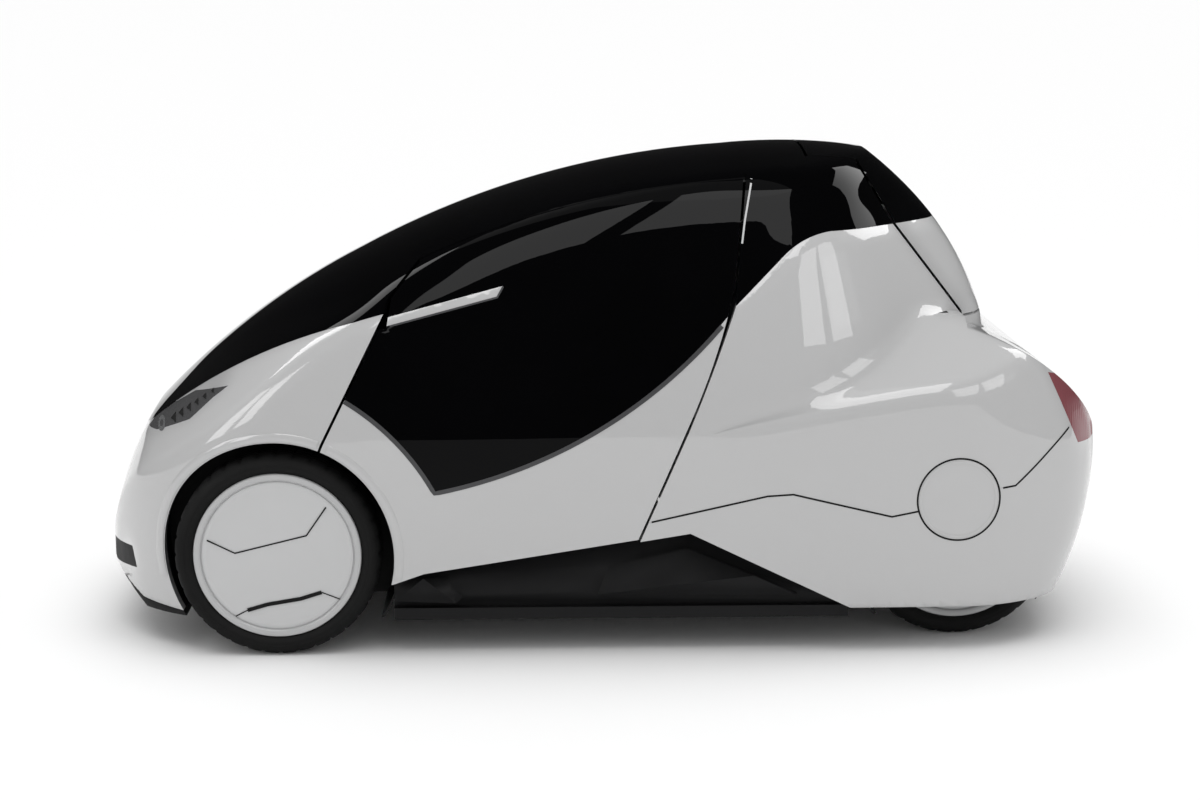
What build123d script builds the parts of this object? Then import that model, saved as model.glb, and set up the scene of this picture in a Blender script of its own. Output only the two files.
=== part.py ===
"""Two-seat electric city car: hollow cabin of separate panels, swing-up doors, tailgate and steered wheels.

Frame: +X forward, +Y left, +Z up, origin on the ground under the middle of the car. Millimetres.
"""
from build123d import *
import math
import os

os.makedirs("parts", exist_ok=True)

# Running gear
WHEELBASE = 1885
FRONT_AXLE_X = 904
REAR_AXLE_X = FRONT_AXLE_X - WHEELBASE
FRONT_TRACK = 1060
REAR_TRACK = 780
TYRE_R = 282
TYRE_W = 145
TYRE_INNER_R = 229
TYRE_SHOULDER_R = 26
REAR_LINER_R = 300
RIM_CLEARANCE = 0.3
RIM_WALL = 12
COVER_R = 208
COVER_T = 12
COVER_INSET = 12
HUB_R = 46
STUB_R = 20
STUB_FIT = 0.05
KINGPIN_R = 13
KINGPIN_FIT = 0.05
KNUCKLE_R = 32
KNUCKLE_H = 150
FORK_T = 18
FORK_PLAY = 0.3

# Body form
NOSE_X = 1420
NOSE_Z = 190
FLOOR_Z = 95
FLOOR_T = 40
CHIN_X = 1290
CHIN_Z = 205
CROWN_AXIS_Z = -150
BODY_TOP = 1500
BODY_SIDE = 800
WALL = 34
GLASS_T = 12
SEAM = 0.6
DOOR_GAP = 7.5
PILLAR_GAP = 14
DOOR_TOP_Y = 415
ARCH_R = 320
HIP_Y = 628
HIP_SLOPE = 33
TAIL_SPLIT_Y = 300
TAIL_SPLIT_X = -1120
CAP_X = -953
CAP_Z = 434
CAP_R = 113

# Side view of nose, windscreen and roof: arcs as end, middle, end and so on
ROOF_ARCS = [(NOSE_X, NOSE_Z), (1362, 490), (1288, 622), (1000, 872), (706, 1050),
             (181, 1259), (-343, 1348), (-560, 1357), (-790, 1337)]
ROOF_REAR_Z = 1150

# Cabin plan outlines by height: each row is one level, y for the left half
CABIN_COLUMNS = ("z", "x_nose", "y_nose", "x_cheek", "y_cheek", "x_fender", "y_fender",
                 "x_hip", "y_hip", "x_corner", "y_corner", "x_tail", "y_tail")
CABIN_LEVELS = [
    (60, 1426, 215, 1285, 455, 1010, 614, -640, 606, -1000, 480, -1060, 240),
    (440, 1426, 215, 1285, 470, 1010, 634, -640, 626, -1005, 440, -1125, 220),
    (820, 1426, 205, 1285, 436, 1010, 590, -640, 584, -975, 320, -1112, 160),
    (1420, 1426, 140, 1285, 262, 1010, 380, -560, 372, -615, 290, -640, 145),
]
CABIN_ROUNDING = (0.42, 0.45, 0.42, 0.42, 0.2, 0.4)

# Tail plan outlines by height, in the same way
TAIL_COLUMNS = ("z", "x_front", "y_front", "x_hip", "y_hip", "x_flank", "y_flank",
                "x_cheek", "y_cheek", "x_tail", "y_tail")
TAIL_LEVELS = [
    (60, 0, 590, -560, 612, -1050, 604, -1225, 495, -1280, 215),
    (450, 0, 606, -560, 634, -1085, 625, -1338, 478, -1418, 225),
    (900, 0, 560, -560, 622, -1000, 600, -1250, 390, -1310, 190),
]
TAIL_ROUNDING = (0.1, 0.42, 0.42, 0.45, 0.42)


def save(piece, node):
    """Label one finished piece and write it as its own file."""
    piece.part.label = node
    export_step(piece.part, f"parts/{node}.step")


def rounded_outline(points, shares):
    """Closed run of lines and arcs: every corner is rounded over a share of its shorter side."""
    corners = []
    for i, share in enumerate(shares):
        here = Vector(*points[i])
        before = Vector(*points[i - 1]) - here
        after = Vector(*points[(i + 1) % len(points)]) - here
        reach = share * min(before.length, after.length)
        radius = reach * math.tan(math.radians(before.get_angle(after)) / 2)
        inward = (before.normalized() + after.normalized()).normalized()
        middle = here + inward * (math.hypot(radius, reach) - radius)
        corners.append((here + before.normalized() * reach, middle, here + after.normalized() * reach))
    for i, (start, middle, end) in enumerate(corners):
        Line(corners[i - 1][2], start)
        ThreePointArc(start, middle, end)


def plan_loft(levels, columns, rounding, inset):
    """Smooth side wall through the plan outlines of a table, drawn in by the inset."""
    with BuildPart() as form:
        for level in levels:
            half = list(zip(level[1::2], level[2::2]))
            mirrored = [(x, -y) for x, y in reversed(half)]
            with BuildSketch(Plane.XY.offset(level[columns.index("z")])):
                with BuildLine():
                    rounded_outline(half + mirrored, rounding + rounding[::-1])
                make_face()
                if inset:
                    offset(amount=-inset)
        loft()
    return form.part


def polygon(*points):
    """Straight-sided closed outline."""
    with BuildSketch() as outline:
        with BuildLine():
            Polyline(*points, close=True)
        make_face()
    return outline.sketch


def side_prism(y_from, y_to, outline, gap=0):
    """Solid of a side-view outline between two widths, drawn in by a gap."""
    with BuildPart() as prism:
        with BuildSketch(Plane.XZ.offset(-y_to)):
            add(outline)
            if gap:
                offset(amount=-gap)
        extrude(amount=y_to - y_from)
    return prism.part


def inset_arcs(points, inset):
    """Run of arcs, given as end, middle, end, middle, end, moved towards the arcs' centres."""
    vectors = [Vector(*point) for point in points]
    pulls = [Vector(0, 0) for point in points]
    for i in range(0, len(vectors) - 2, 2):
        centre = Edge.make_three_point_arc(*vectors[i:i + 3]).arc_center
        for k in range(i, i + 3):
            pulls[k] += (centre - vectors[k]).normalized()
    moved = [vector + pull.normalized() * inset for vector, pull in zip(vectors, pulls)]
    for i in range(0, len(moved) - 2, 2):
        ThreePointArc(*moved[i:i + 3])
    return moved[0], moved[-1]


def cabin_form(inset):
    """Teardrop cabin: plan loft cut by the crowned roof and the chin."""
    with BuildPart() as crown:
        with BuildSketch(Plane.XZ):
            with BuildLine():
                nose, roof_end = inset_arcs(ROOF_ARCS, inset)
                Polyline(roof_end, (-BODY_TOP, ROOF_REAR_Z - inset), (-BODY_TOP, CROWN_AXIS_Z),
                         (nose.X, CROWN_AXIS_Z), nose)
            make_face()
        revolve(axis=Axis((0, 0, CROWN_AXIS_Z), (1, 0, 0)))
    with BuildPart() as form:
        add(plan_loft(CABIN_LEVELS, CABIN_COLUMNS, CABIN_ROUNDING, inset))
        add(crown.part, mode=Mode.INTERSECT)
        chin = polygon((-BODY_TOP, 0), (CHIN_X - inset, 0), (CHIN_X - inset, FLOOR_Z + inset),
                       (NOSE_X + 10 - inset, CHIN_Z + inset), (NOSE_X + 10, BODY_TOP), (-BODY_TOP, BODY_TOP))
        add(side_prism(-BODY_SIDE, BODY_SIDE, chin), mode=Mode.INTERSECT)
    return form.part


def hip_waste(inset):
    """Side view of what is above the hip line, lowered by the inset."""
    drop = inset * math.cos(math.radians(HIP_SLOPE))
    with BuildSketch() as waste:
        with BuildLine():
            ThreePointArc((20, 500 - drop), (-600, 690 - drop), (-1156, 748 - drop))
            ThreePointArc((-1156, 748 - drop), (-1300, 725 - drop), (-1460, 640 - drop))
            Polyline((-1460, 640 - drop), (-1460, BODY_TOP), (20, BODY_TOP), (20, 500 - drop))
        make_face()
    return waste.sketch


def tail_form(inset):
    """Wide tail with a sloped shoulder over the hip line and a rounded deck behind the tailgate."""
    hip_y = HIP_Y - inset * math.sin(math.radians(HIP_SLOPE))
    with BuildPart() as form:
        add(plan_loft(TAIL_LEVELS, TAIL_COLUMNS, TAIL_ROUNDING, inset))
        for side in (1, -1):
            with BuildSketch(Plane.XZ.offset(-side * hip_y)):
                add(hip_waste(inset))
            slope = (0, -side * math.cos(math.radians(HIP_SLOPE)), math.sin(math.radians(HIP_SLOPE)))
            extrude(amount=BODY_SIDE, dir=slope, mode=Mode.SUBTRACT)
        with BuildSketch(Plane.XZ):
            with BuildLine():
                ThreePointArc((-1000 + inset, 872 - inset), (-1240 + inset, 752 - inset), (-1420 + inset, 520 - inset))
                Polyline((-1420 + inset, 520 - inset), (-BODY_TOP, 520 - inset), (-BODY_TOP, BODY_TOP),
                         (-1000 + inset, BODY_TOP), (-1000 + inset, 872 - inset))
            make_face()
        extrude(amount=BODY_SIDE, both=True, mode=Mode.SUBTRACT)
    return form.part


def body_form(inset):
    """Whole outside of the body, or the hollow behind a wall as thick as the inset."""
    with BuildPart() as form:
        add(cabin_form(inset))
        add(tail_form(inset))
        if inset == 0:
            split(bisect_by=Plane.XY.offset(FLOOR_Z), keep=Keep.TOP)
    return form.part


def shell(hollow):
    """Wall between the outside of the body and a hollow."""
    with BuildPart() as wall:
        add(outside)
        add(hollow, mode=Mode.SUBTRACT)
    return wall.part


outside = body_form(0)
cabin_hollow = body_form(WALL)
paint_shell = shell(cabin_hollow)
glass_shell = shell(body_form(GLASS_T))


# Seams in the side view
SCREEN_BASE = [(1340, 545), (1030, 772), (606, 942)]
PILLAR_FOOT = SCREEN_BASE[-1]
ARCH_TOP = (778, 597)
SEAM_FOOT = (-84, 322)
SEAM_KNEE = (-219, 629)
SEAM_BEND = (-297, 825)
SEAM_SHOULDER = (-348, 1000)
SEAM_TOP = (-400, BODY_TOP)
SILL_FRONT = (590, 199)
SILL_STEP = (502, 230)
SILL_PEAK = (-221, 344)
SKIRT_LOW = (-663, 133)
SKIRT_Z = 128
GLASS_FRONT = [(726, 724), (590, 622), (471, 466)]
GLASS_REAR = [(471, 466), (150, 570), (-345, 958)]
QUARTER_RISE = (-478, 1090)
QUARTER_BEND = (-540, 1132)
QUARTER_REAR = (-610, 1150)
HATCH_TOP_X = -560
HATCH_SHOULDER = (-700, 1318)
HATCH_WAIST = (-805, 1150)
HATCH_FOOT = (-1012, 890)
HATCH_LOW_Z = 876
TONGUE_Y = 250
TONGUE_Z = 1250
SKIRT_SEAM = [(-107, 376), (-430, 447), (-500, 452), (-770, 388), (-846, 403), (-1067, 462),
              (-1112, 466), (-1300, 620), (-BODY_TOP, 780)]
ROOF_SEAM_X = 250


def piece_of(wall, *regions):
    """The part of a wall that lies in all the regions."""
    with BuildPart() as piece:
        add(wall)
        for region in regions:
            add(region, mode=Mode.INTERSECT)
    return piece.part


def without(solid, *wastes):
    """A solid with other solids cut out of it."""
    with BuildPart() as piece:
        add(solid)
        for waste in wastes:
            add(waste, mode=Mode.SUBTRACT)
    return piece


def both_sides(left_piece, node):
    """Write the left piece and its mirror image as two nodes."""
    with BuildPart() as right_piece:
        mirror(left_piece.part, about=Plane.XZ)
    save(left_piece, f"{node}_left")
    save(right_piece, f"{node}_right")


def as_pair(left_piece, node):
    """Write the left piece and its mirror image as one node of two solids."""
    with BuildPart() as pair:
        add(left_piece.part)
        mirror(left_piece.part, about=Plane.XZ)
    save(pair, node)


def plan_prism(z_from, z_to, *points):
    """Upright solid over a plan outline."""
    with BuildPart() as prism:
        with BuildSketch(Plane.XY.offset(z_from)):
            with BuildLine():
                Polyline(*points, close=True)
            make_face()
        extrude(amount=z_to - z_from)
    return prism.part


def axle_cylinder(x, z, radius, y_from, y_to):
    """Round solid along Y."""
    with BuildPart() as bar:
        with BuildSketch(Plane.XZ.offset(-y_to)):
            with Locations((x, z)):
                Circle(radius)
        extrude(amount=y_to - y_from)
    return bar.part


def block(x_from, x_to, y_from, y_to, z_from, z_to, edge=0):
    """Box between stated limits, its upright and lengthwise edges rounded."""
    with BuildPart() as solid:
        with BuildSketch(Plane.XY.offset(z_from)):
            with Locations(((x_from + x_to) / 2, (y_from + y_to) / 2)):
                Rectangle(x_to - x_from, y_to - y_from)
        extrude(amount=z_to - z_from)
        if edge:
            fillet(solid.edges(), edge)
    return solid.part


# Outlines of the panels
with BuildSketch() as screen_outline:
    with BuildLine():
        ThreePointArc(*SCREEN_BASE)
        Polyline(PILLAR_FOOT, (ROOF_SEAM_X - 100, PILLAR_FOOT[1]), (ROOF_SEAM_X - 100, BODY_TOP),
                 (BODY_TOP, BODY_TOP), (BODY_TOP, SCREEN_BASE[0][1]), SCREEN_BASE[0])
    make_face()
with BuildSketch() as front_outline:
    with BuildLine():
        ThreePointArc(*SCREEN_BASE)
        Polyline(PILLAR_FOOT, ARCH_TOP, (FRONT_AXLE_X, TYRE_R), (FRONT_AXLE_X, 0), (BODY_TOP, 0),
                 (BODY_TOP, SCREEN_BASE[0][1]), SCREEN_BASE[0])
    make_face()
with BuildSketch() as door_outline:
    with BuildLine():
        Polyline(SEAM_FOOT, SILL_STEP, SILL_FRONT, (FRONT_AXLE_X, TYRE_R), ARCH_TOP, PILLAR_FOOT,
                 (PILLAR_FOOT[0], BODY_TOP), SEAM_TOP, SEAM_SHOULDER)
        ThreePointArc(SEAM_SHOULDER, SEAM_BEND, SEAM_KNEE)
        Line(SEAM_KNEE, SEAM_FOOT)
    make_face()
with BuildSketch() as white_outline:
    with BuildLine():
        ThreePointArc(*GLASS_FRONT)
        ThreePointArc(*GLASS_REAR)
        Polyline(GLASS_REAR[-1], (-500, GLASS_REAR[-1][1]), (-500, 0), (FRONT_AXLE_X, 0),
                 (FRONT_AXLE_X, GLASS_FRONT[0][1]), GLASS_FRONT[0])
    make_face()
with BuildSketch() as canopy_outline:
    with BuildLine():
        Polyline(GLASS_REAR[-1], QUARTER_RISE)
        ThreePointArc(QUARTER_RISE, QUARTER_BEND, QUARTER_REAR)
        Polyline(QUARTER_REAR, HATCH_WAIST, HATCH_SHOULDER, (HATCH_SHOULDER[0], BODY_TOP), SEAM_TOP,
                 SEAM_SHOULDER, GLASS_REAR[-1])
    make_face()
with BuildSketch() as quarter_outline:
    with BuildLine():
        Polyline(SKIRT_SEAM[0], SEAM_KNEE)
        ThreePointArc(SEAM_KNEE, SEAM_BEND, GLASS_REAR[-1])
        Polyline(GLASS_REAR[-1], QUARTER_RISE)
        ThreePointArc(QUARTER_RISE, QUARTER_BEND, QUARTER_REAR)
        Polyline(QUARTER_REAR, HATCH_WAIST, HATCH_FOOT, (HATCH_FOOT[0], HATCH_LOW_Z), (-BODY_TOP, HATCH_LOW_Z),
                 *SKIRT_SEAM[::-1])
    make_face()
skirt_outline = polygon(*SKIRT_SEAM, (-BODY_TOP, SKIRT_Z), (SKIRT_LOW[0], SKIRT_Z), SILL_PEAK, SEAM_FOOT)
hatch_outline = polygon(HATCH_SHOULDER, HATCH_WAIST, HATCH_FOOT, (HATCH_FOOT[0], HATCH_LOW_Z),
                        (-BODY_TOP, HATCH_LOW_Z), (-BODY_TOP, BODY_TOP), (HATCH_SHOULDER[0], BODY_TOP))
roof_outline = polygon(SEAM_SHOULDER, SEAM_TOP, (PILLAR_FOOT[0], BODY_TOP), (PILLAR_FOOT[0], SEAM_SHOULDER[1]))
lip_outline = polygon((1460, 210), (1300, 122), (1150, 108), (1150, 0), (1460, 0))
lamp_outline = polygon((1300, 572), (1272, 612), (1150, 692), (1040, 730), (1086, 694), (1151, 634), (1262, 580))
fog_outline = polygon((1420, 246), (1334, 258), (1320, 200), (1410, 184))
rear_lamp_outline = polygon((-1215, 760), (-1254, 679), (-1312, 556), (-BODY_TOP, 540), (-BODY_TOP, 690))
blade_outline = polygon((600, 932), (615, 906), (300, 986), (284, 1014))

# Regions of the body
WIDE = (-BODY_SIDE, BODY_SIDE)
HALF_SEAM = SEAM / 2
DOOR_INSET = DOOR_GAP - HALF_SEAM
front_region = side_prism(*WIDE, front_outline.sketch, HALF_SEAM)
screen_region = side_prism(*WIDE, screen_outline.sketch, HALF_SEAM)
canopy_region = side_prism(*WIDE, canopy_outline.sketch, HALF_SEAM)
quarter_region = side_prism(*WIDE, quarter_outline.sketch, HALF_SEAM)
skirt_region = side_prism(*WIDE, skirt_outline, HALF_SEAM)
hatch_region = side_prism(*WIDE, hatch_outline, DOOR_INSET)
roof_region = side_prism(*WIDE, roof_outline, HALF_SEAM)
door_region = side_prism(0, BODY_SIDE, door_outline.sketch, DOOR_INSET)
door_white_region = side_prism(0, BODY_SIDE, white_outline.sketch)
lip_region = side_prism(*WIDE, lip_outline)
lamp_region = side_prism(210, BODY_SIDE, lamp_outline)
fog_region = side_prism(210, BODY_SIDE, fog_outline)
rear_lamp_region = side_prism(TAIL_SPLIT_Y, BODY_SIDE, rear_lamp_outline)
blade_region = side_prism(0, BODY_SIDE, blade_outline)
front_arches = [axle_cylinder(FRONT_AXLE_X, TYRE_R, ARCH_R, y, y + BODY_SIDE) for y in (0, -BODY_SIDE)]
cap_hole = axle_cylinder(CAP_X, CAP_Z, CAP_R + SEAM, 0, BODY_SIDE)
PILLAR_Y = 561
SEAM_RUN = (PILLAR_FOOT[0] - ROOF_SEAM_X) / PILLAR_Y
DOOR_TOP_X = PILLAR_FOOT[0] - (PILLAR_Y - DOOR_TOP_Y) * SEAM_RUN
screen_plan = plan_prism(0, BODY_TOP, (PILLAR_FOOT[0], PILLAR_Y), (ROOF_SEAM_X, 0), (PILLAR_FOOT[0], -PILLAR_Y),
                         (PILLAR_FOOT[0], -BODY_SIDE), (BODY_TOP, -BODY_SIDE), (BODY_TOP, BODY_SIDE),
                         (PILLAR_FOOT[0], BODY_SIDE))
roof_plan = plan_prism(PILLAR_FOOT[1], BODY_TOP, (DOOR_TOP_X - SEAM, DOOR_TOP_Y), (ROOF_SEAM_X - SEAM, 0),
                       (DOOR_TOP_X - SEAM, -DOOR_TOP_Y), (SEAM_TOP[0], -DOOR_TOP_Y), (SEAM_TOP[0], DOOR_TOP_Y))
door_waste = plan_prism(PILLAR_FOOT[1] - 40, BODY_TOP, (BODY_TOP, BODY_SIDE), (PILLAR_FOOT[0] + 150, BODY_SIDE),
                        (PILLAR_FOOT[0] - PILLAR_GAP, PILLAR_Y), (DOOR_TOP_X - PILLAR_GAP, DOOR_TOP_Y + DOOR_GAP),
                        (-BODY_TOP, DOOR_TOP_Y + DOOR_GAP), (-BODY_TOP, 0), (BODY_TOP, 0))
tail_middle = plan_prism(0, BODY_TOP, (TAIL_SPLIT_X, TAIL_SPLIT_Y - HALF_SEAM), (-BODY_TOP, TAIL_SPLIT_Y - HALF_SEAM),
                         (-BODY_TOP, HALF_SEAM - TAIL_SPLIT_Y), (TAIL_SPLIT_X, HALF_SEAM - TAIL_SPLIT_Y))
tail_left = plan_prism(0, BODY_TOP, (BODY_TOP, 0), (BODY_TOP, BODY_SIDE), (-BODY_TOP, BODY_SIDE),
                       (-BODY_TOP, TAIL_SPLIT_Y + HALF_SEAM), (TAIL_SPLIT_X + SEAM, TAIL_SPLIT_Y + HALF_SEAM),
                       (TAIL_SPLIT_X + SEAM, 0))
glass_level = plan_prism(QUARTER_REAR[1], BODY_TOP, (BODY_TOP, BODY_SIDE), (-BODY_TOP, BODY_SIDE),
                         (-BODY_TOP, -BODY_SIDE), (BODY_TOP, -BODY_SIDE))

# The tailgate's hinge tongue reaches into a notch of the canopy
tongue_notch = block(HATCH_SHOULDER[0] - DOOR_GAP, HATCH_TOP_X, -TONGUE_Y, TONGUE_Y, TONGUE_Z, BODY_TOP)
tongue_edge = TONGUE_Y - DOOR_GAP
with BuildPart() as gate_region:
    add(hatch_region)
    add(block(HATCH_SHOULDER[0] - 2 * DOOR_GAP, HATCH_TOP_X - DOOR_GAP, -tongue_edge, tongue_edge, TONGUE_Z, BODY_TOP))

# Fixed body panels
right_lamp_region = mirror(lamp_region, about=Plane.XZ)
right_fog_region = mirror(fog_region, about=Plane.XZ)
front_shell = without(piece_of(paint_shell, front_region), *front_arches, lip_region, lamp_region, fog_region,
                      right_lamp_region, right_fog_region)
save(front_shell, "front_shell")
front_lip = without(piece_of(outside, lip_region), *front_arches)
save(front_lip, "front_lip")
headlamp = without(piece_of(paint_shell, lamp_region, front_region))
as_pair(headlamp, "headlamps")
fog_vent = without(piece_of(paint_shell, fog_region))
as_pair(fog_vent, "fog_vents")
windscreen = without(piece_of(glass_shell, screen_region, screen_plan))
save(windscreen, "windscreen")
roof_panel = without(piece_of(glass_shell, roof_plan, roof_region))
save(roof_panel, "roof_panel")
rear_canopy = without(piece_of(glass_shell, canopy_region), tongue_notch)
save(rear_canopy, "rear_canopy")
rear_lamp = without(piece_of(paint_shell, rear_lamp_region, tail_left))
as_pair(rear_lamp, "tail_lamps")
rear_quarter = without(piece_of(paint_shell, quarter_region, tail_left), rear_lamp_region, cap_hole)
both_sides(rear_quarter, "rear_quarter")
tail_panel = without(piece_of(paint_shell, quarter_region, tail_middle))
save(tail_panel, "tail_panel")
rear_relief = axle_cylinder(REAR_AXLE_X, TYRE_R, REAR_LINER_R, 0, (REAR_TRACK + TYRE_W) / 2 + DOOR_GAP)
rear_skirt = without(piece_of(paint_shell, skirt_region, tail_left), rear_lamp_region, cap_hole, rear_relief)
both_sides(rear_skirt, "rear_skirt")
rear_bumper = without(piece_of(paint_shell, skirt_region, tail_middle))
save(rear_bumper, "rear_bumper")
round_cover = without(piece_of(paint_shell, axle_cylinder(CAP_X, CAP_Z, CAP_R, 0, BODY_SIDE)))
as_pair(round_cover, "round_covers")

# Door hinge line, along the front seam: sizes of the pin, its ears and the notches for them
HINGE_LOW = Vector(ARCH_TOP[0], 620, ARCH_TOP[1])
HINGE_HIGH = Vector(PILLAR_FOOT[0], PILLAR_Y, PILLAR_FOOT[1])
DOOR_NORMAL = Vector(-0.017, 0.987, 0.158)
HINGE_ALONG = 70
HINGE_SETBACK = 40
HINGE_DEPTH = 8
HINGE_PIN_R = 4
HINGE_FIT = 0.05
HINGE_SPAN = 60
HINGE_SKIN = 3.5
EAR_T = 14
EAR_PLAY = 5
EAR_REACH = 85
POST_X = 500
POST_W = 55
POST_Y = 435
POST_T = 45
POST_TOP = 655
POST_ARM_Z = 600
hinge_up = (HINGE_HIGH - HINGE_LOW).normalized()
hinge_rear = hinge_up.cross(DOOR_NORMAL).normalized()
hinge_origin = HINGE_LOW + hinge_up * HINGE_ALONG + hinge_rear * HINGE_SETBACK - DOOR_NORMAL * HINGE_DEPTH
hinge_plane = Plane(origin=hinge_origin, x_dir=hinge_rear, z_dir=hinge_up)
NOTCH_T = EAR_T + 2 * EAR_PLAY

with BuildPart() as door:
    add(piece_of(paint_shell, door_region, door_white_region))
    add(front_arches[0], mode=Mode.SUBTRACT)
    for middle in (-HINGE_SPAN / 2, HINGE_SPAN / 2):
        with BuildSketch(hinge_plane.offset(middle - NOTCH_T / 2)):
            with Locations((HINGE_PIN_R + EAR_PLAY, HINGE_SKIN - HINGE_DEPTH)):
                Rectangle(2 * HINGE_SETBACK, 2 * WALL, align=(Align.MAX, Align.MIN))
        extrude(amount=NOTCH_T, mode=Mode.SUBTRACT)
    with BuildSketch(hinge_plane.offset(-(HINGE_SPAN + NOTCH_T) / 2)):
        Circle(HINGE_PIN_R + HINGE_FIT)
    extrude(amount=HINGE_SPAN + NOTCH_T, mode=Mode.SUBTRACT)
both_sides(door, "door")
door_glass = without(piece_of(glass_shell, door_region), door_white_region, door_waste, blade_region)
both_sides(door_glass, "door_glass")
door_blade = without(piece_of(glass_shell, door_region, blade_region), door_waste)
both_sides(door_blade, "door_blade")

with BuildPart() as door_post:
    with BuildSketch(hinge_plane.offset(-(HINGE_SPAN + EAR_T) / 2)):
        Circle(HINGE_PIN_R)
    extrude(amount=HINGE_SPAN + EAR_T)
    for middle in (-HINGE_SPAN / 2, HINGE_SPAN / 2):
        with BuildSketch(hinge_plane.offset(middle - EAR_T / 2)):
            Rectangle(2 * HINGE_PIN_R, EAR_REACH, align=(Align.CENTER, Align.MIN))
        extrude(amount=EAR_T)
    with BuildSketch(hinge_plane.offset(-(HINGE_SPAN + NOTCH_T) / 2)):
        with Locations((0, EAR_REACH)):
            Rectangle(POST_W / 2, POST_W, align=(Align.CENTER, Align.CENTER))
    extrude(amount=HINGE_SPAN + NOTCH_T)
    add(block(POST_X, hinge_origin.X, POST_Y, hinge_origin.Y - EAR_REACH, POST_ARM_Z, POST_TOP))
    add(block(POST_X, POST_X + POST_W, POST_Y, POST_Y + POST_T, FLOOR_Z + FLOOR_T, POST_TOP))
as_pair(door_post, "door_posts")

# Tailgate with its central hinge under the roof
GATE_AXIS_X = HATCH_TOP_X - DOOR_GAP - 100
GATE_AXIS_Z = 1333
GATE_PIN_R = 5
GATE_LUG_W = 60
GATE_LUG_X = 28
GATE_LUG_DROP = 14
GATE_FRAME_DROP = 105
GATE_FRAME_T = 16
GATE_FOOT_X = -500
tailgate = without(piece_of(paint_shell, hatch_region), glass_level)
save(tailgate, "tailgate")
gate_bore = axle_cylinder(GATE_AXIS_X, GATE_AXIS_Z, GATE_PIN_R + HINGE_FIT, -GATE_LUG_W, GATE_LUG_W)
with BuildPart() as tailgate_glass:
    add(piece_of(glass_shell, gate_region.part, glass_level))
    add(block(GATE_AXIS_X - GATE_LUG_X / 2, GATE_AXIS_X + GATE_LUG_X / 2, -GATE_LUG_W / 2, GATE_LUG_W / 2,
              GATE_AXIS_Z - GATE_LUG_DROP, GATE_AXIS_Z + GATE_LUG_DROP))
    add(gate_bore, mode=Mode.SUBTRACT)
save(tailgate_glass, "tailgate_glass")
ear_from = GATE_LUG_W / 2 + EAR_PLAY
ear_to = ear_from + EAR_T
frame_z = GATE_AXIS_Z - GATE_FRAME_DROP
with BuildPart() as gate_frame:
    add(axle_cylinder(GATE_AXIS_X, GATE_AXIS_Z, GATE_PIN_R, -ear_to, ear_to))
    for side in (1, -1):
        y_from, y_to = sorted((side * ear_from, side * ear_to))
        add(block(GATE_AXIS_X - EAR_T, GATE_AXIS_X, y_from, y_to, frame_z, GATE_AXIS_Z))
    add(block(GATE_AXIS_X - EAR_T, GATE_FOOT_X, -ear_to, ear_to, frame_z - GATE_FRAME_T, frame_z))
    add(block(GATE_FOOT_X - GATE_FRAME_T, GATE_FOOT_X, -ear_to, ear_to, frame_z, GATE_AXIS_Z + GATE_LUG_DROP))
    add(rear_canopy.part, mode=Mode.SUBTRACT)
save(gate_frame, "gate_frame")

# Wheels and tyres, drawn once about the wheel's own middle and placed by the table
WHEEL_COLUMNS = ("name", "x", "y", "side")
WHEELS = [
    ("fl", FRONT_AXLE_X, FRONT_TRACK / 2, 1),
    ("fr", FRONT_AXLE_X, -FRONT_TRACK / 2, -1),
    ("rl", REAR_AXLE_X, REAR_TRACK / 2, 1),
    ("rr", REAR_AXLE_X, -REAR_TRACK / 2, -1),
]
RIM_R = TYRE_INNER_R - RIM_CLEARANCE
COVER_OUT = TYRE_W / 2 - COVER_INSET
COVER_IN = COVER_OUT - COVER_T
HUB_IN = KNUCKLE_R + EAR_PLAY + 1
STUB_END = COVER_IN + 1
SLOT_DEPTH = 5
half_w = TYRE_W / 2
with BuildPart() as tyre_form:
    with BuildSketch(Plane.XY):
        with BuildLine():
            Polyline((TYRE_INNER_R, half_w - 14), (TYRE_R - TYRE_SHOULDER_R, half_w))
            ThreePointArc((TYRE_R - TYRE_SHOULDER_R, half_w), (TYRE_R - 7, half_w - 9), (TYRE_R, half_w - 32))
            Line((TYRE_R, half_w - 32), (TYRE_R, 32 - half_w))
            ThreePointArc((TYRE_R, 32 - half_w), (TYRE_R - 7, 9 - half_w), (TYRE_R - TYRE_SHOULDER_R, -half_w))
            Polyline((TYRE_R - TYRE_SHOULDER_R, -half_w), (TYRE_INNER_R, 14 - half_w), (TYRE_INNER_R, half_w - 14))
        make_face()
    revolve(axis=Axis.Y)
with BuildPart() as wheel_form:
    with BuildSketch(Plane.XY):
        with BuildLine():
            Polyline((0, COVER_OUT), (COVER_R, COVER_OUT), (COVER_R + 4, COVER_OUT + 5), (RIM_R, COVER_OUT + 3),
                     (RIM_R, 14 - half_w), (RIM_R - RIM_WALL, 14 - half_w), (RIM_R - RIM_WALL, COVER_IN),
                     (HUB_R, COVER_IN), (HUB_R, HUB_IN), (0, HUB_IN), close=True)
        make_face()
    revolve(axis=Axis.Y)
    with BuildSketch(Plane.XZ.offset(-HUB_IN)):
        Circle(STUB_R + STUB_FIT)
    extrude(amount=HUB_IN - STUB_END - 3, mode=Mode.SUBTRACT)
    with BuildSketch(Plane.XZ.offset(-COVER_OUT)):
        with BuildLine():
            Polyline((-60, -150), (118, -112), (60, -122), (-45, -128), close=True)
        make_face()
    extrude(amount=SLOT_DEPTH, mode=Mode.SUBTRACT)
forms = {("tyre", 1): tyre_form.part, ("wheel", 1): wheel_form.part}
for kind in ("tyre", "wheel"):
    forms[kind, -1] = mirror(forms[kind, 1], about=Plane.XZ)
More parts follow.
